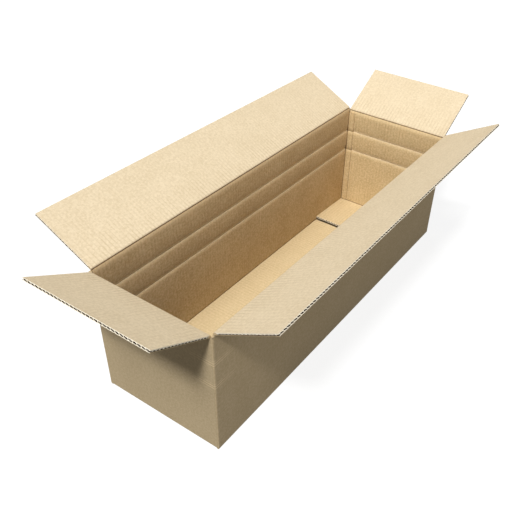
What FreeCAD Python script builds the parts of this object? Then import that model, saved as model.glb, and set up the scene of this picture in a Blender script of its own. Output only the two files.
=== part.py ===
"""Open shipping box of single-wall corrugated board, folded from one sheet.

Millimetres, +Z up. The origin is the centre of the base's underside, +X runs
along the length to the far end, and +Y runs across to the back long wall.
"""
import FreeCAD, Part
import math
import os

# Box, outside
box_length = 762.0
box_width = 237.0
box_height = 241.5        # from the floor to the folds of the long top flaps

# Board: two facings with a wavy sheet between them
board = 4.0
facing = 0.45
wave_sheet = 0.4
flute_pitch = 7.3
wave_slant = 1.35         # width of the wavy sheet along a facing, by its thickness
raw_edge_depth = 1.3      # how far a cut side edge is open between its facings

# Folds
hinge_gap = 0.25          # from a flap's turning line to each of the two pieces
crushed_root = 9.0        # board without open flutes beside a flap's fold
shoulder_radius = 3.6     # rounding of the board's inner face beside a flap's fold
corner_radius = 2.6       # outside of the folds at the walls' corners
base_fold_radius = 2.2    # outside of the folds round the base

# Pressed fold lines round the inside of the walls
crease_drops = (53.0, 99.0)  # below the folds of the long top flaps
crease_depth = 0.9
crease_width = 3.2
bulge_width = 9.0         # rounded swelling on either side of a pressed line
bulge_height = 0.45

# Clearances
nest_gap = 0.3            # closed long flaps above closed end flaps
side_gap = 0.3            # between a flap's side edge and what it passes
meeting_gap = 0.6         # between two long flaps that meet
slot_overrun = 1.0        # how far the corner slots run past the flaps' folds

# Glue tab inside the far corner, pressed thin
tab_width = 14.5
tab_thickness = 1.5
tab_setback = 1.5         # from the end flap's board when that is closed
seam_width = 1.4
seam_depth = 2.6

# Bottom
end_flap_lift = 3.0       # how far the bottom end flaps stand up at their free edge
bottom_flute_depth = 16.0
tape_width = 48.0
tape_thickness = 0.1

overcut = 1.0             # how far a cutting shape runs past the board

# Flaps at rest, in degrees from straight up, outwards
front_flap_angle = 61.5
back_flap_angle = 63.0
left_flap_angle = 62.0
right_flap_angle = 60.0

# Derived places
half_length = box_length / 2
half_width = box_width / 2
slot_inset = board + side_gap
flap_depth = half_width - meeting_gap / 2
long_fold_z = box_height
end_fold_z = long_fold_z - board - nest_gap
slot_floor_z = end_fold_z - slot_overrun
post_top_z = long_fold_z - slot_overrun
base_z = tape_thickness
end_base_z = base_z + board + nest_gap
long_flap_length = box_length - 2 * slot_inset
end_flap_length = box_width - 2 * slot_inset
crease_heights = [long_fold_z - drop for drop in crease_drops]


def polygon_solid(points, direction):
    """Closed prism from corner points, pushed out along a direction."""
    return Part.Face(Part.makePolygon(points + [points[0]])).extrude(direction)


def outline_solid(edges, direction):
    """Closed prism from joined edges, pushed out along a direction."""
    return Part.Face(Part.Wire(edges)).extrude(direction)


def block(low, high):
    """Box between two corners."""
    size = [h - l for l, h in zip(low, high)]
    return Part.makeBox(size[0], size[1], size[2], FreeCAD.Vector(*low))


def slot(x1, x2, y1, y2, z1, z2):
    """Box that cuts a slot, from its ends along each axis in either order."""
    spans = [sorted(ends) for ends in ((x1, x2), (y1, y2), (z1, z2))]
    return block([low for low, high in spans], [high for low, high in spans])


def rounded_path(corners):
    """Closed loop of straight runs and arcs from (point, radius) corners."""
    edges = []
    starts, ends = [], []
    count = len(corners)
    for i, (point, radius) in enumerate(corners):
        before = (corners[i - 1][0] - point).normalize()
        after = (corners[(i + 1) % count][0] - point).normalize()
        if radius == 0:
            starts.append(point)
            ends.append(point)
            continue
        half_angle = before.getAngle(after) / 2
        trim = radius / math.tan(half_angle)
        inward = (before + after).normalize()
        centre = point + inward * (radius / math.sin(half_angle))
        first, last = point + before * trim, point + after * trim
        middle = centre - inward * radius
        starts.append(first)
        ends.append(last)
        edges.append(Part.Arc(first, middle, last).toShape())
    for i in range(count):
        if (starts[(i + 1) % count] - ends[i]).Length > 1e-6:
            edges.append(Part.makeLine(ends[i], starts[(i + 1) % count]))
    return Part.__sortEdges__(edges)


def flute_profile(centre, from_inner_face):
    """Corners (along the fold, through the board) of one open flute's end.

    The flute is widest at the facing that it lies on, and comes to a point
    at the wavy sheet's crest under the other one.
    """
    half = flute_pitch / 2 - wave_slant * wave_sheet
    if from_inner_face:
        base, crest = facing - board, -facing - wave_sheet
    else:
        base, crest = -facing, facing + wave_sheet - board
    return [(centre - half, base), (centre + half, base), (centre, crest)]


def flute_centres(length):
    """Middles of the flutes that fit whole between two cut side edges."""
    usable = length - 2 * (raw_edge_depth + 2 * wave_sheet)
    count = int(usable / flute_pitch)
    first = -(count - 1) * flute_pitch / 2
    return [first + i * flute_pitch for i in range(count)]


def flute_cutter(length, inner_end, free_edge):
    """Open flutes of a panel as a set of prisms along Z.

    The panel's fold runs along X, its outer face is at Y = 0 and its inner
    face at Y = -board. The prisms run from Z = inner_end past the free edge.
    """
    run = FreeCAD.Vector(0, 0, free_edge + overcut - inner_end)
    centres = flute_centres(length)
    profiles = [flute_profile(c, True) for c in centres]
    profiles += [flute_profile(c + flute_pitch / 2, False) for c in centres[:-1]]
    prisms = []
    for profile in profiles:
        points = [FreeCAD.Vector(x, y, inner_end) for x, y in profile]
        prisms.append(polygon_solid(points, run))
    return Part.makeCompound(prisms)


def raw_edge_cutter(length, low, high):
    """Open strip between the facings along both cut side edges of a panel."""
    grooves = []
    for side in (-1, 1):
        edge = side * length / 2
        inner = edge - side * raw_edge_depth
        outer = edge + side * overcut
        points = [FreeCAD.Vector(outer, -facing, low),
                  FreeCAD.Vector(inner, -facing - wave_sheet, low),
                  FreeCAD.Vector(inner, wave_sheet + facing - board, low),
                  FreeCAD.Vector(outer, facing - board, low)]
        grooves.append(polygon_solid(points, FreeCAD.Vector(0, 0, high - low)))
    return Part.makeCompound(grooves)


def top_flap(length):
    """Top flap standing straight up, its turning line along X at the origin.

    The outer face is at Y = 0 and the inner face at Y = -board. The root is
    mitred, so that the flap can close at a right angle onto the wall's mitre.
    """
    corners = [(FreeCAD.Vector(-length / 2, 0, hinge_gap), 0),
               (FreeCAD.Vector(-length / 2, -board, hinge_gap + board), shoulder_radius),
               (FreeCAD.Vector(-length / 2, -board, flap_depth), 0),
               (FreeCAD.Vector(-length / 2, 0, flap_depth), 0)]
    sheet = outline_solid(rounded_path(corners), FreeCAD.Vector(length, 0, 0))
    sheet = sheet.cut(flute_cutter(length, crushed_root, flap_depth))
    return sheet.cut(raw_edge_cutter(length, crushed_root, flap_depth + overcut))


def placed(shape, angle, yaw, pivot):
    """Lean a flap outwards, turn it to face its wall and set it on its fold."""
    shape.rotate(FreeCAD.Vector(0, 0, 0), FreeCAD.Vector(1, 0, 0), -angle)
    shape.rotate(FreeCAD.Vector(0, 0, 0), FreeCAD.Vector(0, 0, 1), yaw)
    shape.translate(pivot)
    return shape


def long_side():
    """Back long wall with its bottom flap, as one folded strip along X."""
    top = long_fold_z - hinge_gap
    x = -half_length
    inner = half_width - board
    corners = [(FreeCAD.Vector(x, half_width, top), 0),
               (FreeCAD.Vector(x, half_width, base_z), base_fold_radius),
               (FreeCAD.Vector(x, meeting_gap / 2, base_z), 0),
               (FreeCAD.Vector(x, meeting_gap / 2, base_z + board), 0),
               (FreeCAD.Vector(x, inner, base_z + board), 0),
               (FreeCAD.Vector(x, inner, top - board), shoulder_radius)]
    strip = outline_solid(rounded_path(corners), FreeCAD.Vector(box_length, 0, 0))
    for side in (-1, 1):
        near, post, far = [side * x for x in (half_length - slot_inset, half_length - board, half_length + overcut)]
        bottom_slot = slot(near, far, -overcut, inner, base_z - overcut, end_base_z)
        top_slot = slot(near, post, inner - overcut, half_width + overcut, slot_floor_z, long_fold_z)
        above_post = slot(near, far, inner - overcut, half_width + overcut, post_top_z, long_fold_z)
        strip = strip.cut(bottom_slot).cut(top_slot).cut(above_post)
    return strip


def end_side():
    """Far end wall with its bottom flap, as one folded strip along Y.

    The wall reaches the outside of the long walls and stands on the floor with
    them. Its flap fits between them and folds in over the long bottom flaps.
    """
    top = end_fold_z - hinge_gap
    y = -half_width
    inner = half_length - board
    reach = half_length - flap_depth
    slope = end_flap_lift / (inner - reach)
    flap_under = end_base_z + slope * (half_length - inner)
    corners = [(FreeCAD.Vector(half_length, y, top), 0),
               (FreeCAD.Vector(half_length, y, base_z), base_fold_radius),
               (FreeCAD.Vector(inner, y, base_z), 0),
               (FreeCAD.Vector(inner, y, flap_under), 0),
               (FreeCAD.Vector(reach, y, flap_under + end_flap_lift), 0),
               (FreeCAD.Vector(reach, y, flap_under + end_flap_lift + board), 0),
               (FreeCAD.Vector(inner, y, flap_under + board), 0),
               (FreeCAD.Vector(inner, y, top - board), shoulder_radius)]
    strip = outline_solid(rounded_path(corners), FreeCAD.Vector(0, box_width, 0))
    for side in (-1, 1):
        near, far = [side * y for y in (half_width - slot_inset, half_width + overcut)]
        over_flap = end_base_z + 2 * board + end_flap_lift
        bottom_slot = slot(reach - overcut, inner, near, far, base_z, over_flap)
        top_slot = slot(inner - overcut, half_length + overcut, near, far, slot_floor_z, long_fold_z)
        strip = strip.cut(bottom_slot).cut(top_slot)
    return strip.cut(bottom_end_flutes(reach, flap_under + end_flap_lift, slope))


def bottom_end_flutes(reach, edge_z, slope):
    """Open flutes in the free edge of the far bottom end flap."""
    flutes = flute_cutter(end_flap_length, -bottom_flute_depth, 0)
    flutes.rotate(FreeCAD.Vector(0, 0, 0), FreeCAD.Vector(0, 0, 1), 90)
    flutes.rotate(FreeCAD.Vector(0, 0, 0), FreeCAD.Vector(0, 1, 0), -90 + math.degrees(math.atan(slope)))
    flutes.translate(FreeCAD.Vector(reach, 0, edge_z))
    return flutes


def turned(shape):
    """The same side at the opposite end of the box."""
    copy = shape.copy()
    copy.rotate(FreeCAD.Vector(0, 0, 0), FreeCAD.Vector(0, 0, 1), 180)
    return copy


def swelling(length, height):
    """Half-round swelling of a wall's inner face beside a pressed line.

    It runs along X with its back in the plane Y = 0 and stands out to -Y.
    """
    low = FreeCAD.Vector(-length / 2, 0, height - bulge_width / 2)
    high = FreeCAD.Vector(-length / 2, 0, height + bulge_width / 2)
    crown = FreeCAD.Vector(-length / 2, -bulge_height, height)
    back_low = FreeCAD.Vector(-length / 2, bulge_height, height - bulge_width / 2)
    back_high = FreeCAD.Vector(-length / 2, bulge_height, height + bulge_width / 2)
    edges = [Part.Arc(low, crown, high).toShape(), Part.makeLine(high, back_high),
             Part.makeLine(back_high, back_low), Part.makeLine(back_low, low)]
    return outline_solid(edges, FreeCAD.Vector(length, 0, 0))


def pressed_line(length, height):
    """V-shaped groove along X, pressed into a face at Y = 0 from -Y."""
    mouth = crease_width / 2 * (1 + bulge_height / crease_depth)
    points = [FreeCAD.Vector(-length / 2, -bulge_height, height - mouth),
              FreeCAD.Vector(-length / 2, crease_depth, height),
              FreeCAD.Vector(-length / 2, -bulge_height, height + mouth)]
    return polygon_solid(points, FreeCAD.Vector(length, 0, 0))


def creased(body):
    """Press the fold lines into the inner face of all four walls."""
    walls = [(half_width - board, box_length - 2 * board, 0), (half_length - board, box_width - 2 * board, -90),
             (half_width - board, box_length - 2 * board, 180), (half_length - board, box_width - 2 * board, 90)]
    swellings, grooves = [], []
    for distance, length, yaw in walls:
        for height in crease_heights:
            pieces = [swelling(length, height + bulge_width / 2), swelling(length, height - bulge_width / 2),
                      pressed_line(length, height)]
            for piece in pieces:
                piece.translate(FreeCAD.Vector(0, distance, 0))
                piece.rotate(FreeCAD.Vector(0, 0, 0), FreeCAD.Vector(0, 0, 1), yaw)
            swellings += pieces[:2]
            grooves.append(pieces[2])
    return body.fuse(swellings).cut(grooves)


def glue_tab():
    """Thin strip of the back long wall, folded in and glued to the far end wall."""
    inner_x = half_length - board
    inner_y = half_width - board
    tab_top = end_fold_z - board - tab_setback
    tab_base = end_base_z + board + tab_setback
    return block((inner_x - tab_thickness, inner_y - tab_width, tab_base),
                 (inner_x + board / 2, inner_y + board / 2, tab_top))


def joint_seam():
    """Groove outside the far corner, where the end wall's edge meets the fold."""
    x = half_length - board
    points = [FreeCAD.Vector(x - seam_width / 2, half_width + overcut, 0),
              FreeCAD.Vector(x - seam_width / 2, half_width, 0),
              FreeCAD.Vector(x, half_width - seam_depth, 0),
              FreeCAD.Vector(x + seam_width / 2, half_width, 0),
              FreeCAD.Vector(x + seam_width / 2, half_width + overcut, 0)]
    return polygon_solid(points, FreeCAD.Vector(0, 0, box_height))


def outer_form():
    """Upright prism of the outside, with rounded corners, to trim the walls."""
    corners = [(FreeCAD.Vector(x * half_length, y * half_width, 0), corner_radius)
               for x, y in ((-1, -1), (1, -1), (1, 1), (-1, 1))]
    return outline_solid(rounded_path(corners), FreeCAD.Vector(0, 0, box_height))


def box_body():
    """Four walls, glue tab and closed bottom flaps, one folded sheet."""
    back, far = long_side(), end_side()
    body = back.fuse([turned(back), far, turned(far), glue_tab()])
    body = creased(body).common(outer_form())
    return body.cut(joint_seam()).removeSplitter()


def bottom_tape():
    """Strip of packing tape under the seam of the long bottom flaps."""
    reach = half_length - slot_inset
    return block((-reach, -tape_width / 2, 0), (reach, tape_width / 2, tape_thickness))


def front_long_flap():
    return placed(top_flap(long_flap_length), front_flap_angle, 180, FreeCAD.Vector(0, -half_width, long_fold_z))


def back_long_flap():
    return placed(top_flap(long_flap_length), back_flap_angle, 0, FreeCAD.Vector(0, half_width, long_fold_z))


def left_end_flap():
    return placed(top_flap(end_flap_length), left_flap_angle, 90, FreeCAD.Vector(-half_length, 0, end_fold_z))


def right_end_flap():
    return placed(top_flap(end_flap_length), right_flap_angle, -90, FreeCAD.Vector(half_length, 0, end_fold_z))


os.makedirs("parts", exist_ok=True)
for make in (box_body, front_long_flap, back_long_flap, left_end_flap, right_end_flap, bottom_tape):
    make().exportStep("parts/" + make.__name__ + ".step")
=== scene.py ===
"""Open shipping box of corrugated board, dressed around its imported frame.

Sizes are in millimetres until a mesh is finished, which brings it to metres.
A wall's own frame has X along the wall, Y out of the box from the wall's outer
face, and Z up. A flap's own frame stands it upright on its turning line.
"""

import logging
import math
from dataclasses import dataclass, field
from enum import Enum
from typing import Callable, Union

import bmesh
import bpy
from mathutils import Matrix, Vector


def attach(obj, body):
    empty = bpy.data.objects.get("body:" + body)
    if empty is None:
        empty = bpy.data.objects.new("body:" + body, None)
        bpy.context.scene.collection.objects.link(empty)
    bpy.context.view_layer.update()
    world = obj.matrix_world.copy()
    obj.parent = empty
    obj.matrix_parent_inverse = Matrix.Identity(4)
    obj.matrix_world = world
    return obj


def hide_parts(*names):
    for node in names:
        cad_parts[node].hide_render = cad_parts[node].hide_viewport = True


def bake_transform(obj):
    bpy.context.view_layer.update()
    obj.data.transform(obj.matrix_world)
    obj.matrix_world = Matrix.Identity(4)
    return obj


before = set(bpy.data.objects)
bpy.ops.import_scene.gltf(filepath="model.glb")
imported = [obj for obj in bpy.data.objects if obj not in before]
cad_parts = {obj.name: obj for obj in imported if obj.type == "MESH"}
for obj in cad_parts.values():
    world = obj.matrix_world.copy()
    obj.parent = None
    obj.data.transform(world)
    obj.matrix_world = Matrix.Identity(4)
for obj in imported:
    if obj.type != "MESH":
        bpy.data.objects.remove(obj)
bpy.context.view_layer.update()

METRES = 0.001
SHARP_ANGLE = math.radians(32)

log = logging.getLogger("box")

Colour = tuple[float, float, float]
Point = tuple[float, float]


def ink(red: int, green: int, blue: int) -> Colour:
    """Colour for a shader from the 0 to 255 values that a screen shows.

    Args:
        red, green, blue: the screen's values.

    Returns:
        The same colour as linear light.
    """
    shares = (red / 255, green / 255, blue / 255)
    return tuple(s / 12.92 if s <= 0.04045 else ((s + 0.055) / 1.055) ** 2.4 for s in shares)


def paler(colour: Colour, factor: float) -> Colour:
    """Colour made brighter by a factor, up to white."""
    return tuple(min(1.0, c * factor) for c in colour)


class Along(Enum):
    """Axis of the box that a wall and the folds of its flaps run along."""

    LENGTH = 0
    WIDTH = 1


class Side(Enum):
    """The four walls: yaw in degrees from the back wall's frame, and fold direction."""

    BACK = (0, Along.LENGTH)
    FRONT = (180, Along.LENGTH)
    LEFT = (90, Along.WIDTH)
    RIGHT = (-90, Along.WIDTH)

    @property
    def yaw(self) -> int:
        """Turn about Z from the back wall, in degrees."""
        return self.value[0]

    @property
    def along(self) -> Along:
        """Axis that the wall runs along."""
        return self.value[1]


class Face(Enum):
    """Material slots of every board piece."""

    INNER = 0
    OUTER = 1
    CUT = 2
    WAVE = 3
    LINING = 4
    TAB_EDGE = 5


@dataclass(frozen=True)
class BoxSizes:
    """Sizes of the box and its board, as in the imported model."""

    length: float = 762.0
    width: float = 237.0
    height: float = 241.5
    board: float = 4.0
    facing: float = 0.6
    flute_pitch: float = 7.3
    side_gap: float = 0.3
    nest_gap: float = 0.3
    meeting_gap: float = 0.6
    slot_overrun: float = 1.0
    tape_thickness: float = 0.1
    base_fold_radius: float = 2.2
    corner_radius: float = 3.3
    crease_drops: tuple = (53.0, 99.0)
    rim_height: float = 228.2

    @property
    def half_length(self) -> float:
        """Half of the outside length."""
        return self.length / 2

    @property
    def half_width(self) -> float:
        """Half of the outside width."""
        return self.width / 2

    @property
    def slot_inset(self) -> float:
        """From a wall's outer face to the side edge of its neighbour's flap."""
        return self.board + self.side_gap

    @property
    def flap_depth(self) -> float:
        """From a flap's turning line to its free edge."""
        return self.half_width - self.meeting_gap / 2

    @property
    def end_base(self) -> float:
        """Height of the end walls' base folds."""
        return self.tape_thickness + self.board + self.nest_gap

    @property
    def crease_heights(self) -> list[float]:
        """Heights of the pressed lines round the inside."""
        return [self.height - drop for drop in self.crease_drops]

    def base_height(self, along: Along) -> float:
        """Height of the underside of the bottom flaps that fold along that direction."""
        return self.tape_thickness if along is Along.LENGTH else self.end_base

    def reach(self, side: Side) -> float:
        """Distance from the box's middle to that wall's outer face."""
        return self.half_width if side.along is Along.LENGTH else self.half_length

    def half_span(self, side: Side) -> float:
        """Half of that wall's outside length."""
        return self.half_length if side.along is Along.LENGTH else self.half_width

    def fold_height(self, side: Side) -> float:
        """Height of that wall's top fold."""
        return self.height if side.along is Along.LENGTH else self.height - self.board - self.nest_gap


SIZES = BoxSizes()


class Signal:
    """One number in a shader graph. Arithmetic on it adds Math nodes."""

    def __init__(self, graph: "Graph", socket: bpy.types.NodeSocket) -> None:
        """Wraps an output socket of the graph."""
        self.graph = graph
        self.socket = socket

    def math(self, operation: str, *others: "Number") -> "Signal":
        """This number and others through one Math node.

        Args:
            operation: the Math node's operation.
            others: the node's second and third numbers.

        Returns:
            The node's result.
        """
        numbers = dict(enumerate((self, *others)))
        return self.graph.number("ShaderNodeMath", {"operation": operation}, numbers)

    def __add__(self, other: "Number") -> "Signal":
        """Sum."""
        return self.math("ADD", other)

    __radd__ = __add__

    def __sub__(self, other: "Number") -> "Signal":
        """Difference."""
        return self.math("SUBTRACT", other)

    def __rsub__(self, other: float) -> "Signal":
        """Difference from a plain number."""
        return (self * -1) + other

    def __mul__(self, other: "Number") -> "Signal":
        """Product."""
        return self.math("MULTIPLY", other)

    __rmul__ = __mul__

    def __pow__(self, exponent: float) -> "Signal":
        """Power."""
        return self.math("POWER", exponent)

    def __abs__(self) -> "Signal":
        """Size without sign."""
        return self.math("ABSOLUTE")

    def ease(self, start: float, end: float, first: float = 0.0, last: float = 1.0) -> "Signal":
        """Smooth step from one value to another.

        Args:
            start, end: where the step begins and ends.
            first, last: the values before and after it.

        Returns:
            The stepped number, which stays between first and last.
        """
        inputs = {"Value": self, "From Min": start, "From Max": end, "To Min": first, "To Max": last}
        return self.graph.number("ShaderNodeMapRange", {"interpolation_type": "SMOOTHSTEP"}, inputs, "Result")


Number = Union[Signal, float]


class Graph:
    """A material or world that is built from code."""

    def __init__(self, owner: Union[bpy.types.Material, bpy.types.World]) -> None:
        """Empties the owner's node tree and keeps it."""
        owner.use_nodes = True
        self.tree = owner.node_tree
        self.tree.nodes.clear()

    def node(self, kind: str, settings: dict, inputs: dict) -> bpy.types.Node:
        """Adds one node.

        Args:
            kind: the node's type.
            settings: properties of the node, set before its sockets.
            inputs: values or links by socket name or number.

        Returns:
            The new node.
        """
        made = self.tree.nodes.new(kind)
        for name, value in settings.items():
            setattr(made, name, value)
        for name, value in inputs.items():
            socket = made.inputs[name]
            if isinstance(value, Signal):
                value = value.socket
            if isinstance(value, bpy.types.NodeSocket):
                self.tree.links.new(value, socket)
            elif isinstance(value, tuple) and socket.type == "RGBA":
                socket.default_value = (*value, 1.0)
            else:
                socket.default_value = value
        return made

    def number(self, kind: str, settings: dict, inputs: dict, output: Union[str, int] = 0) -> Signal:
        """Adds a node and gives one of its outputs as a number."""
        return Signal(self, self.node(kind, settings, inputs).outputs[output])

    def blended(self, share: Number, first: object, second: object, how: str = "MIX") -> bpy.types.NodeSocket:
        """Colour between two colours.

        Args:
            share: how much of the second colour, from 0 to 1.
            first, second: colours or links.
            how: the Mix node's blend type.

        Returns:
            The colour's socket.
        """
        settings = {"data_type": "RGBA", "blend_type": how}
        return self.node("ShaderNodeMix", settings, {0: share, 6: first, 7: second}).outputs[2]

    def place(self) -> bpy.types.NodeSocket:
        """Object coordinates, in metres in the box's own frame."""
        return self.node("ShaderNodeTexCoord", {}, {}).outputs["Object"]

    def noise(self, place: bpy.types.NodeSocket, stretch: tuple, detail: float = 3.0,
              rough: float = 0.5) -> Signal:
        """Smooth noise from 0 to 1.

        Args:
            place: the coordinates that it reads.
            stretch: features per metre along each axis.
            detail: how many finer layers it has.
            rough: how strong the finer layers are.

        Returns:
            The noise.
        """
        moved = self.node("ShaderNodeMapping", {}, {"Vector": place, "Scale": stretch}).outputs[0]
        inputs = {"Vector": moved, "Scale": 1.0, "Detail": detail, "Roughness": rough}
        return self.number("ShaderNodeTexNoise", {}, inputs)

    def bump(self, height: Signal, strength: float = 1.0) -> bpy.types.NodeSocket:
        """Normal from a height in millimetres."""
        inputs = {"Height": height, "Distance": METRES, "Strength": strength}
        return self.node("ShaderNodeBump", {}, inputs).outputs[0]

    def surface(self, inputs: dict) -> bpy.types.NodeSocket:
        """Principled shader with those inputs."""
        return self.node("ShaderNodeBsdfPrincipled", {}, inputs).outputs[0]

    def show(self, shader: bpy.types.NodeSocket, output: str = "ShaderNodeOutputMaterial") -> None:
        """Sends a shader to the output."""
        self.node(output, {}, {"Surface": shader})


@dataclass(frozen=True)
class Tone:
    """Colours of one paper: its pale and deep patches, and its washboard lines."""

    light: Colour
    deep: Colour
    rib: Colour


@dataclass(frozen=True)
class Kraft:
    """Facing of brown kraft paper over the flutes of one direction.

    Distances are in millimetres, and a share says how strongly something shows.
    A facing whose crease_shade_share, mark_share, painted_shadow_edge or fold_reach is 0 has no
    painted shade and highlights round the pressed lines, top folds, corners and foot,
    no score marks, no painted shadow under the end flaps, or no dark fold line,
    which is crushed paper darkened further as painted shade.
    """

    name: str
    along: Along
    tone: Tone
    # Dark brown of the crushed fold lines, also used as painted shade at the pressed lines, in the inner
    # upright corners and along the walls' foot.
    fold: Colour = ink(92, 64, 36)
    # Colour of the painted shadow on the long bottom flaps under the end flaps' free edges.
    under: Colour = ink(44, 30, 18)
    rib_height: float = 0.075
    rib_share: float = 0.5
    rib_reach: float = 62.0
    far_rib: float = 0.3
    # Width of the dark line along the top folds, which is partly painted shade; 0 leaves it out.
    fold_reach: float = 2.9
    # Strength of the painted shade at the pressed lines; 0 also leaves out the other painted light and shade
    # inside the walls.
    crease_shade_share: float = 0.0
    mark_share: float = 0.0
    mark_pitch: float = 4.6
    mark_reach: float = 62.0
    mark_depth: float = 0.12
    # Distance from the middle along X beyond which the painted shadow under the end flaps is laid; 0 leaves
    # none.
    painted_shadow_edge: float = 0.0
    # Height below which painted shade darkens the foot of an inner wall.
    foot: float = 0.0

    @property
    def side(self) -> Side:
        """One of the two walls that run along this facing's direction."""
        return Side.BACK if self.along is Along.LENGTH else Side.RIGHT

    def away(self, parts: list[Signal]) -> Signal:
        """Distance from the folds of the top flaps."""
        out = abs(parts[1 - self.along.value]) - SIZES.reach(self.side)
        up = parts[2] - SIZES.fold_height(self.side)
        return (out * out + up * up).math("SQRT")

    def crease_bands(self, parts: list[Signal]) -> tuple[Signal, Signal]:
        """Shares of shade above and on the pressed lines, and of light just below them."""
        shades, lights = [], []
        for height in SIZES.crease_heights:
            above = parts[2] - height
            below = height - parts[2]
            shade = above.ease(0.0, 44.0, 0.2, 0.0) + above.ease(0.4, 8.0, 0.26, 0.0)
            line = abs(above).ease(0.4, 1.1, 0.7, 0.0)
            shades.append((shade * above.ease(-0.4, 0.3)).math("MAXIMUM", line))
            lights.append(below.ease(0.7, 1.4) * below.ease(1.6, 10.0, 1.0, 0.0))
        return shades[0].math("MAXIMUM", shades[1]), lights[0].math("MAXIMUM", lights[1])

    def marks(self, parts: list[Signal]) -> Signal:
        """Faint stripes outside, near the upright corners, where the lines were pressed."""
        inward = SIZES.half_span(self.side) - abs(parts[self.along.value])
        near = inward.ease(4.0, self.mark_reach, 1.0, 0.0)
        windows = [abs(parts[2] - height).ease(2.5, 8.5, 1.0, 0.0) for height in SIZES.crease_heights]
        stripes = ((parts[2] * (2 * math.pi / self.mark_pitch)).math("SINE") * 0.5 + 0.5) ** 3
        return (windows[0] + windows[1]) * near * stripes

    def lined(self, graph: Graph, parts: list[Signal], away: Signal,
              colour: bpy.types.NodeSocket) -> bpy.types.NodeSocket:
        """Colours the inside of a wall with painted shade at the pressed lines, corners and foot, and painted
        highlights below the pressed lines and the top folds.

        Args:
            graph: the material's graph.
            parts: X, Y and Z of the place.
            away: its distance from the folds of the top flaps.
            colour: the paper's colour so far.

        Returns:
            The colour with all of them.
        """
        # Painted shade above and on each pressed line, where the line itself is also darker crushed paper,
        # and a painted highlight just below it.
        shaded, lit = self.crease_bands(parts)
        colour = graph.blended(shaded * self.crease_shade_share, colour, self.fold)
        colour = graph.blended(lit * 0.3, colour, paler(self.tone.light, 1.2))
        # Painted highlight on the inside just below the top folds, where the board rounds over.
        shoulder_highlight = away.ease(3.0, 15.0, 1.0, 0.0)
        colour = graph.blended(shoulder_highlight * 0.4, colour, paler(self.tone.light, 1.25))
        # Painted shade in the inner upright corners and along the foot of the walls.
        inside = SIZES.half_span(self.side) - SIZES.board
        corner = (inside - abs(parts[self.along.value])).ease(1.1, 1.9, 1.0, 0.0)
        foot = parts[2].ease(self.foot - 1.2, self.foot, 1.0, 0.0)
        return graph.blended(corner.math("MAXIMUM", foot) * 0.75, colour, self.fold)

    def material(self) -> bpy.types.Material:
        """Builds the paper: fine mottle, fibres, washboard lines, score marks, dark folds that are partly
        painted shade, and other painted shade and highlights.
        """
        made = bpy.data.materials.new(self.name)
        graph = Graph(made)
        place = graph.place()
        scaled = graph.node("ShaderNodeVectorMath", {"operation": "SCALE"}, {0: place, "Scale": 1 / METRES})
        split = graph.node("ShaderNodeSeparateXYZ", {}, {0: scaled.outputs[0]})
        parts = [Signal(graph, split.outputs[i]) for i in range(3)]
        mottle = graph.noise(place, (260, 260, 260), 3.0, 0.65)
        drift = graph.noise(place, (22, 22, 22), 2.0)
        stretch = (160, 900, 900) if self.along is Along.LENGTH else (900, 160, 900)
        fibre = graph.noise(place, stretch, 3.0, 0.7)
        tooth = graph.noise(place, (1300, 1300, 1300), 2.0)
        away = self.away(parts)
        pillow = abs((parts[self.along.value] * (math.pi / SIZES.flute_pitch)).math("SINE"))
        near = away.ease(8.0, self.rib_reach, 1.0, self.far_rib)
        patch = graph.noise(place, (34, 34, 34), 2.0).ease(0.32, 0.66, 0.35, 1.0)
        line = (1 - pillow) ** 2.5 * near * patch
        shade = (mottle * 0.56 + drift * 0.12 + fibre * 0.32).ease(0.38, 0.63)
        colour = graph.blended(shade, self.tone.deep, self.tone.light)
        colour = graph.blended(line * self.rib_share, colour, self.tone.rib)
        colour = graph.blended(tooth.ease(0.58, 0.76) * 0.25, colour, paler(self.tone.light, 1.22))
        height = pillow * near * self.rib_height + fibre * 0.035 + tooth * 0.014 + mottle * 0.055
        if self.crease_shade_share:
            colour = self.lined(graph, parts, away, colour)
        if self.mark_share:
            marks = self.marks(parts)
            colour = graph.blended(marks * self.mark_share, colour, paler(self.tone.light, 1.5))
            height = height - marks * self.mark_depth
        # Painted shadow in the gap under the end flaps' free edges.
        if self.painted_shadow_edge:
            under = abs(parts[0]).ease(self.painted_shadow_edge, self.painted_shadow_edge + 0.8)
            colour = graph.blended(under * 0.9, colour, self.under)
        # Dark line along the top folds: crushed paper, darkened further as painted shade of the fold's
        # groove.
        if self.fold_reach:
            fold = away.ease(self.fold_reach - 0.4, self.fold_reach, 1.0, 0.0)
            colour = graph.blended(fold * 0.95, colour, self.fold)
        inputs = {"Base Color": colour, "Roughness": fibre * 0.12 + 0.78, "Normal": graph.bump(height),
                  "Specular IOR Level": 0.2}
        graph.show(graph.surface(inputs))
        return made


@dataclass(frozen=True)
class CutPaper:
    """Paler, fuzzy edge of board where a knife went through."""

    name: str
    light: Colour
    deep: Colour
    rough: float = 0.9

    def material(self) -> bpy.types.Material:
        """Builds the edge with short fibres across it."""
        made = bpy.data.materials.new(self.name)
        graph = Graph(made)
        place = graph.place()
        fuzz = graph.noise(place, (700, 700, 700), 3.0, 0.7)
        spread = graph.noise(place, (60, 60, 60), 2.0)
        shade = (fuzz * 0.7 + spread * 0.4).ease(0.35, 0.8)
        colour = graph.blended(shade, self.deep, self.light)
        bump = graph.bump(fuzz * 0.06)
        inputs = {"Base Color": colour, "Roughness": self.rough, "Normal": bump, "Specular IOR Level": 0.2}
        graph.show(graph.surface(inputs))
        return made


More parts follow.
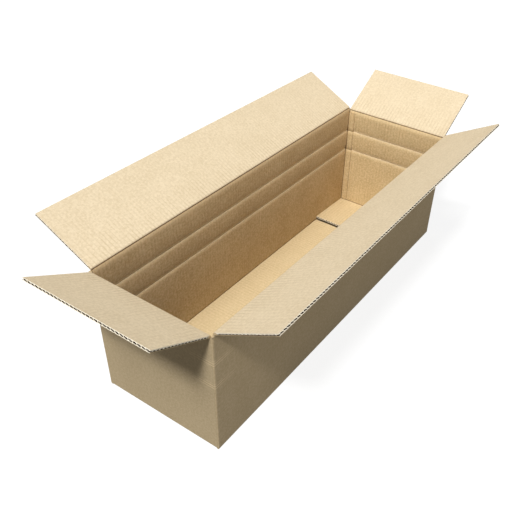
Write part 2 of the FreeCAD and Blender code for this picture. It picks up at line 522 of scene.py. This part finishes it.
@dataclass(frozen=True)
class ParcelTape:
    """Buff packing tape with a soft sheen and small trapped bubbles."""

    name: str
    film: Colour
    worn: Colour

    def material(self) -> bpy.types.Material:
        """Builds the film over the board."""
        made = bpy.data.materials.new(self.name)
        graph = Graph(made)
        place = graph.place()
        streak = graph.noise(place, (12, 240, 12), 3.0)
        bubble = graph.noise(place, (260, 260, 260), 2.0).ease(0.58, 0.72)
        colour = graph.blended(streak.ease(0.3, 0.75), self.film, self.worn)
        colour = graph.blended(bubble * 0.4, colour, paler(self.worn, 1.4))
        bump = graph.bump(streak * 0.05 + bubble * 0.04)
        inputs = {"Base Color": colour, "Roughness": streak * 0.15 + 0.2, "Normal": bump}
        graph.show(graph.surface(inputs))
        return made


class Finishes:
    """All materials of the box, by the direction of the board's folds.

    Each list in flaps, walls and bases is in the order of the Face slots.
    """

    end_flap_edge = SIZES.half_length - SIZES.flap_depth - 0.6
    # How far above the floor's inner face the painted shade along the walls' foot reaches.
    foot_shade = 2.6

    def __init__(self) -> None:
        """Builds the papers, the cut edges, the wavy sheets and the tape."""
        # One kraft paper throughout, its liners differing a little at most. The flaps' paler tone, the deeper
        # linings and the tones that differ by wall direction are painted light and shade: paler on faces that
        # are lit, deeper on those in shade.
        flap = Tone(ink(220, 203, 173), ink(205, 187, 155), ink(170, 146, 110))
        base = Tone(ink(217, 195, 154), ink(202, 180, 138), ink(172, 145, 102))
        inner = {
            Along.LENGTH: Tone(ink(205, 181, 143), ink(177, 151, 110), ink(150, 121, 82)),
            Along.WIDTH: Tone(ink(218, 195, 153), ink(190, 165, 120), ink(161, 132, 90)),
        }
        outer = {
            Along.LENGTH: Tone(ink(200, 180, 145), ink(185, 164, 128), ink(164, 141, 104)),
            Along.WIDTH: Tone(ink(210, 190, 154), ink(195, 174, 137), ink(173, 150, 112)),
        }
        # The painted crease shade is weaker on the end walls.
        crease_shade_shares = {Along.LENGTH: 1.0, Along.WIDTH: 0.65}
        # Only the long bottom flaps get the painted shadow under the end flaps.
        painted_shadow_edges = {Along.LENGTH: self.end_flap_edge, Along.WIDTH: 0.0}
        cut = CutPaper("cut_edge", ink(255, 248, 230), ink(243, 230, 204)).material()
        # The wavy sheet's brown, made darker than the paper is as painted shade inside the open flutes.
        wave = CutPaper("wavy_sheet", ink(88, 67, 45), ink(60, 44, 29)).material()
        # A darker copy of the wavy sheet for the bottom flaps, painted shade in their flutes.
        shaded_wave = CutPaper("shaded_wavy_sheet", ink(46, 33, 21), ink(30, 21, 13)).material()
        # Brown for the glue tab's cut sides, darker than a cut edge is, as painted shade along the tab's
        # step.
        tab = CutPaper("tab_edge", ink(158, 128, 90), ink(128, 98, 64)).material()
        self.flaps, self.walls, self.bases = {}, {}, {}
        for along in Along:
            word = along.name.lower()
            leaf = Kraft(f"flap_facing_{word}", along, flap).material()
            # Top of the painted shade along the foot of the inner walls.
            foot = SIZES.board + SIZES.base_height(along) + self.foot_shade
            lining = Kraft(f"inner_facing_{word}", along, inner[along], far_rib=0.55, foot=foot,
                           crease_shade_share=crease_shade_shares[along]).material()
            bottom = Kraft(f"base_facing_{word}", along, base, painted_shadow_edge=painted_shadow_edges[along],
                           far_rib=0.75).material()
            face = Kraft(f"outer_facing_{word}", along, outer[along], rib_share=0.2, fold_reach=0.0,
                         mark_share=0.65).material()
            self.flaps[along] = [leaf, face, cut, wave]
            self.walls[along] = [lining, face, cut, wave, lining, tab]
            self.bases[along] = [bottom, face, cut, shaded_wave]
        self.tape = ParcelTape("parcel_tape", ink(196, 160, 112), ink(212, 180, 134)).material()


def rounded(mesh: bmesh.types.BMesh, edges: list[bmesh.types.BMEdge], radius: float) -> None:
    """Rounds edges of a mesh with one radius."""
    bmesh.ops.bevel(mesh, geom=edges, offset=radius, segments=5, affect="EDGES", profile=0.5, material=-1)


def prism(mesh: bmesh.types.BMesh, outline: list[Point], first: float,
          last: float) -> list[bmesh.types.BMFace]:
    """Closed solid from an outline across the board, pushed along X.

    Args:
        mesh: the mesh that gets it.
        outline: (Y, Z) corners of the section.
        first, last: where it starts and ends along X.

    Returns:
        The solid's faces.
    """
    corners = [mesh.verts.new((first, y, z)) for y, z in outline]
    section = mesh.faces.new(corners)
    grown = bmesh.ops.extrude_face_region(mesh, geom=[section])["geom"]
    moved = [part for part in grown if isinstance(part, bmesh.types.BMVert)]
    bmesh.ops.translate(mesh, vec=(last - first, 0, 0), verts=moved)
    every = set(corners + moved)
    return [f for f in mesh.faces if all(v in every for v in f.verts)]


def sheet_grid(mesh: bmesh.types.BMesh, low: Point, high: Point, columns: int, rows: int,
               surface: Callable[[float, float], float],
               thickness: Callable[[float], float]) -> list[bmesh.types.BMFace]:
    """Closed thin sheet over the plane of X and Z.

    Args:
        mesh: the mesh that gets it.
        low, high: its (X, Z) corners.
        columns, rows: its divisions.
        surface: Y of the sheet's first face at a place (X, Z).
        thickness: how far it is thickened along Y at a place along X.

    Returns:
        The sheet's faces.
    """
    before = set(mesh.faces)
    grid = bmesh.ops.create_grid(mesh, x_segments=columns, y_segments=rows, size=0.5)["verts"]
    for vert in grid:
        x = low[0] + (vert.co.x + 0.5) * (high[0] - low[0])
        z = low[1] + (vert.co.y + 0.5) * (high[1] - low[1])
        vert.co = (x, surface(x, z), z)
    fresh = [f for f in mesh.faces if f not in before]
    grown = bmesh.ops.extrude_face_region(mesh, geom=fresh)["geom"]
    for vert in (part for part in grown if isinstance(part, bmesh.types.BMVert)):
        vert.co.y += thickness(vert.co.x)
    return [f for f in mesh.faces if f not in before]


def standing(side: Side, height: float) -> Matrix:
    """Places a wall's own frame at that side, with its origin at a height."""
    turn = Matrix.Rotation(math.radians(side.yaw), 4, "Z")
    out = turn @ Vector((0, SIZES.reach(side), 0))
    return Matrix.Translation(out + Vector((0, 0, height))) @ turn


def made_object(name: str, mesh: bmesh.types.BMesh, materials: list, place: Matrix) -> bpy.types.Object:
    """Finishes a mesh: place, metres, outward faces, soft shading between sharp edges.

    Args:
        name: the object's name.
        mesh: the mesh in millimetres, freed here.
        materials: its material slots.
        place: the matrix from the piece's own frame to the box's.

    Returns:
        The object, at the origin.
    """
    bmesh.ops.transform(mesh, matrix=place, verts=mesh.verts)
    bmesh.ops.scale(mesh, vec=(METRES,) * 3, verts=mesh.verts)
    bmesh.ops.recalc_face_normals(mesh, faces=mesh.faces)
    data = bpy.data.meshes.new(name)
    mesh.to_mesh(data)
    mesh.free()
    for material in materials:
        data.materials.append(material)
    data.shade_smooth()
    data.set_sharp_from_angle(angle=SHARP_ANGLE)
    made = bpy.data.objects.new(name, data)
    bpy.context.scene.collection.objects.link(made)
    log.info("%s: %d faces", name, len(data.polygons))
    return made


@dataclass(frozen=True)
class FlutedPanel:
    """Board with open flutes, upright on its fold: two facings and a wavy sheet.

    The strand is the wavy sheet's torn edge along a cut side, and the burrs are the
    fibres that thicken a facing's rim inwards.
    """

    length: float
    root: float
    depth: float
    relief: float = 0.06
    columns_per_flute: int = 6
    wave_columns: int = 12
    wave_inset: float = 0.25
    sheet: float = 0.62
    flank: float = 0.5
    strand: float = 1.1
    strand_turn: float = 6.6
    strand_swing: float = 0.9
    strand_slant: float = 0.8
    strand_depth: float = 1.0
    strand_inset: float = 0.1
    strand_end: float = 0.3
    rim_reach: float = 1.5
    rim_burr: float = 0.22
    side_burr: float = 0.8
    middle: float = -SIZES.board / 2

    def pillow(self, x: float) -> float:
        """How far the paper stands up between the flute lines, from 0 to 1."""
        return abs(math.sin(math.pi * x / SIZES.flute_pitch))

    def wave_sheet(self, x: float) -> float:
        """Thickness of the wavy sheet through the board: one flank is torn wide by the knife."""
        return self.sheet + self.flank * math.sin(2 * math.pi * x / SIZES.flute_pitch)

    def strand_front(self, z: float) -> float:
        """Y of the strand's front at a height."""
        return self.middle + self.strand_swing * math.sin(2 * math.pi / self.strand_turn * z)

    def faces_waves(self, y: float) -> bool:
        """Tells a facing's side towards the waves from its paper side."""
        return abs(y - self.middle) < (SIZES.board - SIZES.facing) / 2

    def burr_rim(self, faces: list[bmesh.types.BMFace]) -> None:
        """Brings a facing's last row close to the free edge and thickens its rim inwards."""
        for vert in {v for face in faces for v in face.verts}:
            share = (vert.co.z - self.root) / (self.depth - self.root)
            inward = math.copysign(1.0, self.middle - vert.co.y)
            if self.faces_waves(vert.co.y):
                if self.length / 2 - abs(vert.co.x) < 0.01 and inward > 0:
                    vert.co.y += self.side_burr
                elif share > 0.9:
                    vert.co.y += inward * self.rim_burr
            if 0.5 < share < 0.9:
                vert.co.z = self.depth - self.rim_reach

    def facing_slot(self, face: bmesh.types.BMFace, paper: Face) -> Face:
        """Slot for a face of the inner or outer facing.

        Args:
            face: the face, with its normal up to date.
            paper: the slot of the facing's paper side.

        Returns:
            The slot of the paper, of its cut rim or of the side towards the waves, which gets the wavy
            sheet's dark colour as painted shade inside the flutes.
        """
        # The outer facing's cut sides take its paper colour, darker than a cut rim, as painted shade under
        # the flap's side edge.
        if abs(face.normal.x) > 0.5 and paper is Face.OUTER:
            return Face.OUTER
        if abs(face.normal.y) < 0.5:
            return Face.CUT
        return Face.WAVE if self.faces_waves(face.calc_center_median().y) else paper

    def facings(self, mesh: bmesh.types.BMesh) -> None:
        """Adds the inner and outer facings, with their washboard relief."""
        half = self.length / 2
        low, high = (-half, self.root), (half, self.depth)
        columns = round(self.length / SIZES.flute_pitch * self.columns_per_flute)
        board, facing = SIZES.board, SIZES.facing
        inner = sheet_grid(mesh, low, high, columns, 3,
                           lambda x, z: -board + self.relief * (1 - self.pillow(x)), lambda x: facing)
        outer = sheet_grid(mesh, low, high, columns, 3,
                           lambda x, z: -self.relief * (1 - self.pillow(x)), lambda x: -facing)
        for faces, paper in ((inner, Face.INNER), (outer, Face.OUTER)):
            self.burr_rim(faces)
            for face in faces:
                face.normal_update()
                face.material_index = self.facing_slot(face, paper).value

    def wave(self, mesh: bmesh.types.BMesh) -> None:
        """Adds the wavy sheet, with pale fibres on its cut free edge."""
        half = self.length / 2 - self.wave_inset
        turn = 2 * math.pi / SIZES.flute_pitch
        swing = (SIZES.board - 2 * SIZES.facing - self.sheet) / 2
        columns = round(self.length / SIZES.flute_pitch * self.wave_columns)
        sheet = sheet_grid(mesh, (-half, self.root), (half, self.depth), columns, 1,
                           lambda x, z: self.middle + swing * math.cos(turn * x) + self.wave_sheet(x) / 2,
                           lambda x: -self.wave_sheet(x))
        for face in sheet:
            face.normal_update()
            at_edge = face.calc_center_median().z > self.depth - 1
            free = face.normal.z > 0.9 or (face.normal.z < -0.9 and at_edge)
            face.material_index = (Face.CUT if free else Face.WAVE).value

    def strands(self, mesh: bmesh.types.BMesh) -> None:
        """Adds the wavy sheet's ragged strand along both cut side edges."""
        rows = round((self.depth - self.root) * 6 / self.strand_turn)
        for sign in (-1, 1):
            edge = sign * (self.length / 2 - self.strand_inset)
            low, high = sorted((edge, edge - sign * self.strand_depth))
            strip = sheet_grid(mesh, (low, self.root), (high, self.depth - self.strand_end), 1, rows,
                               lambda x, z: self.strand_front(z), lambda x: -self.strand)
            for vert in {v for face in strip for v in face.verts}:
                behind = vert.co.y < self.strand_front(vert.co.z) - self.strand / 2
                if abs(vert.co.x - edge) < 1e-3 and behind:
                    vert.co.x -= sign * self.strand_slant
            for face in strip:
                face.normal_update()
                face.material_index = (Face.CUT if abs(face.normal.x) > 0.5 else Face.WAVE).value

    def add(self, mesh: bmesh.types.BMesh) -> None:
        """Adds the whole panel to a mesh."""
        self.facings(mesh)
        self.wave(mesh)
        self.strands(mesh)


@dataclass(frozen=True)
class CrushedFold:
    """Board round a top fold: pressed thin at the line, with rounded shoulders."""

    length: float
    angle: float
    root: float = 4.8
    wall_side: tuple = ((-4.0, -8.4), (-3.94, -6.8), (-3.82, -5.2), (-3.62, -3.8), (-3.36, -2.4),
                        (-3.06, -1.3), (-2.78, -0.4), (-2.45, 0.42))
    flap_side: tuple = ((-1.72, 1.75), (-1.42, 2.25), (-1.08, 2.8), (-0.7, 3.25), (-0.2, 3.62),
                        (0.5, 3.85), (1.6, 3.97), (3.0, 4.0))
    outside: tuple = (2.4, 1.4, 0.8, 0.4)
    pinch: float = 0.18

    def outline(self, wall_root: float) -> tuple[list[Point], int]:
        """Section through the fold, with the flap leaning out.

        Args:
            wall_root: how far the wall part reaches down from the fold.

        Returns:
            The (Y, Z) corners, and how many of them belong to the inner side.
        """
        lean = math.radians(self.angle)
        deep = Vector((math.sin(lean), math.cos(lean)))
        inward = Vector((-math.cos(lean), math.sin(lean)))
        inner = [(-SIZES.board, -wall_root), *self.wall_side]
        inner += [tuple(deep * s + inward * h) for s, h in self.flap_side]
        inner += [tuple(deep * self.root + inward * SIZES.board)]
        middle = (Vector((-1, 0)) + inward).normalized() * self.pinch
        outer = [tuple(deep * self.root)]
        outer += [tuple(deep * s) for s in self.outside]
        outer += [tuple(middle)]
        outer += [(0.0, -s) for s in reversed(self.outside)]
        outer += [(0.0, -wall_root)]
        return inner + outer, len(inner)

    def build(self, wall_root: float) -> bmesh.types.BMesh:
        """Builds the fold in the wall's frame, with its origin on the fold."""
        mesh = bmesh.new()
        points, inner_count = self.outline(wall_root)
        half = self.length / 2
        faces = prism(mesh, points, -half, half)
        inner_points = [Vector(p) for p in points[:inner_count]]
        for face in faces:
            face.normal_update()
            if abs(face.normal.x) > 0.5:
                face.material_index = Face.OUTER.value
                continue
            ends = [Vector((v.co.y, v.co.z)) for v in face.verts]
            inside = all(min((end - point).length for point in inner_points) < 1e-4 for end in ends)
            slot = Face.INNER if face.calc_center_median().z > 0.3 else Face.LINING
            face.material_index = (slot if inside else Face.OUTER).value
        return mesh


@dataclass
class TopFlap:
    """One top flap with the fold that joins it to its wall."""

    side: Side
    node: str
    body: str
    angle: float
    finishes: Finishes
    blend_reach: float = 2.2

    @property
    def length(self) -> float:
        """Length along the fold, between the corner slots."""
        return 2 * (SIZES.half_span(self.side) - SIZES.slot_inset)

    def panel(self, root: float) -> bmesh.types.BMesh:
        """Builds the board outside the fold. A long flap's side edges are cut more cleanly."""
        clean = {"strand": 0.5, "strand_swing": 0.3, "side_burr": 0.55}
        edge = clean if self.side.along is Along.LENGTH else {}
        mesh = bmesh.new()
        FlutedPanel(self.length, root, SIZES.flap_depth, **edge).add(mesh)
        return mesh

    def build(self) -> None:
        """Builds the leaning panel and the fold's bent board."""
        fold_height = SIZES.fold_height(self.side)
        place = standing(self.side, fold_height)
        fold = CrushedFold(self.length, self.angle)
        lean = Matrix.Rotation(-math.radians(self.angle), 4, "X")
        materials = self.finishes.flaps[self.side.along]
        board = made_object(f"{self.node}_board", self.panel(fold.root), materials, place @ lean)
        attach(board, self.body)
        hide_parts(self.node)
        lined = [*materials, self.finishes.walls[self.side.along][Face.INNER.value]]
        bend = made_object(f"{self.node}_fold", fold.build(fold_height - SIZES.rim_height), lined, place)
        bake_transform(bend)


@dataclass
class Walls:
    """The four walls with their pressed lines, base folds and bottom flaps."""

    finishes: Finishes
    dent: float = 1.9
    dent_above: float = 8.5
    dent_below: float = 3.2
    groove: float = 0.3
    groove_spread: float = 0.7
    corner_reach: float = 9.0
    corner_bulge: float = 0.45
    bulge_away: float = 3.4
    bulge_spread: float = 1.9
    corner_groove: float = 0.5
    notch_spread: float = 0.9
    hold_share: float = 0.75
    hold_spread: float = 1.6
    rim_fade: float = 6.0
    end_lift: float = 4.4
    tab_width: float = 14.5
    tab_thickness: float = 1.5
    tab_setback: float = 1.5
    tab_back: float = 1.2
    tab_press: float = 0.6
    seam_gap: float = 0.7
    raw_edge: float = 1.3
    tab_radius: float = 1.6
    dense: tuple = (0.0, 0.35, 0.75, 1.2, 1.8, 2.5, 3.3, 4.3, 5.5, 7.0, 9.0, 11.5, 14.5, 18.0)
    corner_steps: tuple = (0.0, 0.5, 1.0, 1.6, 2.4, 3.4, 4.6, 6.0, 8.0)

    def crease(self, z: float) -> float:
        """How far the inner face is pressed back at a height, as a number below 0.

        The board curves in slowly from above each line and comes out sharply below it.
        """
        total = 0.0
        for height in SIZES.crease_heights:
            spread = self.dent_above if z > height else self.dent_below
            total -= self.dent * math.exp(-abs(z - height) / spread)
            total -= self.groove * math.exp(-(((z - height) / self.groove_spread) ** 2))
        return total

    def corner(self, away: float) -> float:
        """How far the inner face stands into the box at a distance from an upright corner."""
        if away > self.corner_reach:
            return 0.0
        swell = self.corner_bulge * math.exp(-((away - self.bulge_away) / self.bulge_spread) ** 2)
        return swell - self.corner_groove * math.exp(-((away / self.notch_spread) ** 2))

    def heights(self, low: float) -> list[float]:
        """Heights of the inner face's corners from low up to the rim, close beside the pressed lines."""
        steps = {low, SIZES.rim_height}
        for height in SIZES.crease_heights:
            for step in self.dense:
                steps.update((height - step, height + step))
        return sorted(s for s in steps if low <= s <= SIZES.rim_height)

    def base_arc(self, base: float) -> list[Point]:
        """Rounded base fold from the outer face to the underside."""
        radius = SIZES.base_fold_radius
        centre = Vector((-radius, base + radius))
        turns = [math.radians(-15 * i) for i in range(7)]
        return [tuple(centre + Vector((math.cos(t), math.sin(t))) * radius) for t in turns]

    def wall(self, side: Side, first: float, last: float) -> bmesh.types.BMesh:
        """Builds one wall between two places along it, in its own frame.

        Args:
            side: which wall.
            first, last: its ends along X.

        Returns:
            The wall with its pressed inner face.
        """
        base = SIZES.tape_thickness
        inner_low = SIZES.board + SIZES.base_height(side.along)
        outline = [(0.0, SIZES.rim_height), *self.base_arc(base), (-SIZES.board, base)]
        outline += [(-SIZES.board, z) for z in self.heights(inner_low)]
        mesh = bmesh.new()
        prism(mesh, outline, first, last)
        inside = SIZES.half_span(side) - SIZES.board
        cuts = [sign * (inside - step) for step in self.corner_steps for sign in (-1, 1)]
        cuts += [inside * (-0.8 + 0.2 * i) for i in range(9)]
        for x in cuts:
            geometry = mesh.verts[:] + mesh.edges[:] + mesh.faces[:]
            bmesh.ops.bisect_plane(mesh, geom=geometry, plane_co=(x, 0, 0), plane_no=(1, 0, 0), dist=1e-4)
        for vert in mesh.verts:
            away = inside - abs(vert.co.x)
            if abs(vert.co.y + SIZES.board) < 1e-4 and vert.co.z > inner_low - 1e-4 and away > -1e-3:
                fade = min(1.0, (SIZES.rim_height - vert.co.z) / self.rim_fade)
                hold = 1 - self.hold_share * math.exp(-((away / self.hold_spread) ** 2))
                vert.co.y -= self.crease(vert.co.z) * hold + self.corner(away) * fade
        return mesh

    def paint(self, mesh: bmesh.types.BMesh) -> None:
        """Gives the faces their slots: inner ones by how far they are through the board."""
        for face in mesh.faces:
            face.normal_update()
            middle = face.calc_center_median()
            inside = middle.y < -SIZES.board * 0.7 and abs(face.normal.y) > 0.3
            face.material_index = Face.INNER.value if inside else Face.OUTER.value

    def round_upright(self, mesh: bmesh.types.BMesh, x: float, radius: float) -> None:
        """Rounds the outside upright edge at one end of a wall."""
        edges = [e for e in mesh.edges if all(abs(v.co.x - x) < 1e-4 and v.co.y > -1e-4 for v in e.verts)]
        rounded(mesh, edges, radius)

    def post(self, mesh: bmesh.types.BMesh, side: Side, sign: int) -> None:
        """Adds the corner of the board between the slots, above the rim of a long wall."""
        half = SIZES.half_span(side)
        low = SIZES.rim_height
        floor = SIZES.fold_height(Side.LEFT) - SIZES.slot_overrun
        top = SIZES.height - SIZES.slot_overrun
        foot = [(0.0, low), (0.0, floor), (-SIZES.board, floor), (-SIZES.board, low)]
        head = [(0.0, floor), (0.0, top - 0.9), (-0.35, top - 0.25), (-1.0, top),
                (-SIZES.board, top - 2.6), (-SIZES.board, floor)]
        for outline, inset in ((foot, SIZES.slot_inset), (head, SIZES.board)):
            before = set(mesh.verts)
            faces = prism(mesh, outline, *sorted((sign * half, sign * (half - inset))))
            for face in faces:
                face.material_index = Face.OUTER.value
            fresh = [v for v in mesh.verts if v not in before]
            edges = {e for v in fresh for e in v.link_edges
                     if all(abs(w.co.x - sign * half) < 1e-4 and abs(w.co.y) < 1e-4 for w in e.verts)}
            rounded(mesh, list(edges), SIZES.corner_radius)

    def raw_end(self, mesh: bmesh.types.BMesh) -> None:
        """Adds the far end wall's cut edge, which shows its two facings beside the seam."""
        half = SIZES.half_width
        top = SIZES.fold_height(Side.LEFT) - SIZES.slot_overrun
        low = SIZES.tape_thickness + SIZES.base_fold_radius
        for outer in (0.0, -SIZES.board + SIZES.facing):
            outline = [(outer, low), (outer, top), (outer - SIZES.facing, top), (outer - SIZES.facing, low)]
            for face in prism(mesh, outline, -half, -half + self.raw_edge):
                face.normal_update()
                face.material_index = (Face.OUTER if abs(face.normal.y) > 0.5 else Face.CUT).value

    def glue_tab(self, mesh: bmesh.types.BMesh) -> None:
        """Adds the thin glued strip beside the far corner, in the far end wall's frame."""
        low = SIZES.end_base + SIZES.board + self.tab_setback
        high = SIZES.fold_height(Side.RIGHT) - SIZES.board - self.tab_setback
        inside = SIZES.half_width - SIZES.board
        levels = [low, *[z for z in self.heights(low) if low < z < high], high]
        front = [(-SIZES.board - self.tab_thickness - self.crease(z) * self.tab_press, z) for z in levels]
        outline = [(-self.tab_back, low), *front, (-self.tab_back, high)]
        for face in prism(mesh, outline, -inside, -inside + self.tab_width):
            face.normal_update()
            face.material_index = Face.INNER.value if abs(face.normal.y) > 0.3 else Face.TAB_EDGE.value

    def bottom(self, side: Side) -> tuple[bmesh.types.BMesh, Matrix]:
        """Bottom flap of one wall and its place.

        Args:
            side: the wall that it folds from.

        Returns:
            The panel, upright on its fold, and the matrix that lays it down.
        """
        length = 2 * (SIZES.half_span(side) - SIZES.slot_inset)
        panel = bmesh.new()
        FlutedPanel(length, SIZES.board - 0.2, SIZES.flap_depth).add(panel)
        rise = 0.0 if side.along is Along.LENGTH else math.asin(self.end_lift / SIZES.flap_depth)
        fold = Matrix.Rotation(-math.pi / 2 - rise, 4, "X") @ Matrix.Rotation(math.pi, 4, "Y")
        return panel, standing(side, SIZES.base_height(side.along)) @ fold

    def build(self) -> None:
        """Builds all four walls and bottom flaps."""
        node = "box_body"
        for side in Side:
            long_one = side.along is Along.LENGTH
            name = side.name.lower()
            half = SIZES.half_span(side) - (0 if long_one else SIZES.board)
            first, last = -half, half
            if side is Side.BACK:
                last = half - SIZES.board - self.seam_gap
            if side is Side.RIGHT:
                first = -SIZES.half_width + self.raw_edge
            mesh = self.wall(side, first, last)
            self.paint(mesh)
            if long_one:
                self.round_upright(mesh, -half, SIZES.corner_radius)
                self.round_upright(mesh, last, SIZES.corner_radius if side is Side.FRONT else self.tab_radius)
                for sign in (-1, 1):
                    self.post(mesh, side, sign)
            if side is Side.RIGHT:
                self.glue_tab(mesh)
                self.raw_end(mesh)
            wall = made_object(f"{name}_wall", mesh, self.finishes.walls[side.along], standing(side, 0))
            panel, place = self.bottom(side)
            flap = made_object(f"{name}_bottom_flap", panel, self.finishes.bases[side.along], place)
            for piece in (wall, flap):
                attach(piece, "box")
                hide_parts(node)


@dataclass
class BottomTape:
    """Strip of packing tape under the seam of the long bottom flaps."""

    finishes: Finishes
    width: float = 48.0

    def build(self) -> None:
        """Builds the strip a little inside the base's ends."""
        reach = SIZES.half_length - SIZES.slot_inset
        mesh = bmesh.new()
        half = self.width / 2
        top = SIZES.tape_thickness
        outline = [(-half, 0.0), (-half, top), (half, top), (half, 0.0)]
        prism(mesh, outline, -reach, reach)
        strip = made_object("bottom_tape_strip", mesh, [self.finishes.tape], Matrix.Identity(4))
        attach(strip, "box")
        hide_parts("bottom_tape")


@dataclass(frozen=True)
class Lamp:
    """Soft round lamp that shines at the box."""

    name: str
    place: tuple
    size: float
    power: float

    def build(self) -> None:
        """Hangs the lamp and turns it to the box."""
        lamp = bpy.data.lights.new(self.name, "AREA")
        lamp.shape = "DISK"
        lamp.size = self.size
        lamp.energy = self.power
        made = bpy.data.objects.new(self.name, lamp)
        made.location = self.place
        made.rotation_euler = (-Vector(self.place)).to_track_quat("-Z", "Y").to_euler()
        bpy.context.scene.collection.objects.link(made)


@dataclass
class Studio:
    """Pale floor, soft light from above and the left with weak fills, and the camera."""

    floor_size: float = 60.0
    white: Colour = ink(255, 255, 255)
    floor_glow: float = 0.86
    floor_share: float = 0.2
    floor_bounce: Colour = ink(90, 88, 85)
    sky: float = 0.08
    lamps: tuple = (
        Lamp("key", (-10.6, -2.6, 16.0), 2.6, 2880.0),
        Lamp("high_key", (-7.4, 0.7, 16.8), 5.6, 1480.0),
        Lamp("front_fill", (0.9, -7.6, 6.8), 5.1, 88.0),
        Lamp("low_front_fill", (-2.0, -7.9, 4.2), 4.1, 150.0),
        Lamp("back_fill", (6.5, 8.0, 4.5), 4.5, 165.0),
    )
    camera_place: Vector = field(default_factory=lambda: Vector((-0.836279, -0.531453, 0.821346)))
    camera_turn: tuple = (50.45457, -2.35300, -55.92270)
    lens: float = 43.8782
    shift: tuple = (-0.06978, 0.06586)

    def seen_directly(self, graph: Graph) -> Signal:
        """1 for rays from the camera, a mirror or glass, and 0 for other light."""
        path = graph.node("ShaderNodeLightPath", {}, {})
        kinds = ("Camera", "Glossy", "Transmission")
        rays = [Signal(graph, path.outputs[f"Is {kind} Ray"]) for kind in kinds]
        return rays[0].math("MAXIMUM", rays[1]).math("MAXIMUM", rays[2])

    def floor(self) -> None:
        """Builds the floor, which looks white with a faint shadow and throws little light up."""
        mesh = bmesh.new()
        bmesh.ops.create_grid(mesh, x_segments=1, y_segments=1, size=self.floor_size / 2)
        data = bpy.data.meshes.new("studio_floor")
        mesh.to_mesh(data)
        mesh.free()
        material = bpy.data.materials.new("studio_floor")
        graph = Graph(material)
        shared = tuple(c * self.floor_share for c in self.white)
        bounce = graph.surface({"Base Color": self.floor_bounce, "Roughness": 1.0, "Specular IOR Level": 0.0})
        seen = graph.surface({"Base Color": shared, "Roughness": 1.0, "Specular IOR Level": 0.0,
                              "Emission Color": self.white, "Emission Strength": self.floor_glow})
        inputs = {0: self.seen_directly(graph), 1: bounce, 2: seen}
        graph.show(graph.node("ShaderNodeMixShader", {}, inputs).outputs[0])
        data.materials.append(material)
        ground = bpy.data.objects.new("studio_floor", data)
        bpy.context.scene.collection.objects.link(ground)

    def world(self) -> None:
        """Even white surroundings, dimmer for the light that they throw."""
        world = bpy.data.worlds.new("studio")
        bpy.context.scene.world = world
        graph = Graph(world)
        dim, bright = [graph.node("ShaderNodeBackground", {}, {"Color": self.white, "Strength": s}).outputs[0]
                       for s in (self.sky, 1.0)]
        inputs = {0: self.seen_directly(graph), 1: dim, 2: bright}
        mixed = graph.node("ShaderNodeMixShader", {}, inputs).outputs[0]
        graph.show(mixed, "ShaderNodeOutputWorld")

    def camera(self) -> None:
        """Camera at the photograph's place and angle."""
        data = bpy.data.cameras.new("camera")
        data.lens = self.lens
        data.shift_x, data.shift_y = self.shift
        data.clip_start = 0.01
        made = bpy.data.objects.new("camera", data)
        made.location = self.camera_place
        made.rotation_euler = tuple(math.radians(a) for a in self.camera_turn)
        bpy.context.scene.collection.objects.link(made)
        bpy.context.scene.camera = made

    def build(self) -> None:
        """Builds the whole studio."""
        bpy.context.scene.view_settings.view_transform = "Standard"
        self.floor()
        self.world()
        for lamp in self.lamps:
            lamp.build()
        self.camera()


def main() -> None:
    """Builds the box and its surroundings."""
    logging.basicConfig(level=logging.INFO)
    Studio().build()
    finishes = Finishes()
    Walls(finishes).build()
    flaps = [
        TopFlap(Side.FRONT, "front_long_flap", "front_flap", 61.5, finishes),
        TopFlap(Side.BACK, "back_long_flap", "back_flap", 63.0, finishes),
        TopFlap(Side.LEFT, "left_end_flap", "left_flap", 62.0, finishes),
        TopFlap(Side.RIGHT, "right_end_flap", "right_flap", 60.0, finishes),
    ]
    for flap in flaps:
        flap.build()
    BottomTape(finishes).build()


if __name__ == "__main__":
    main()
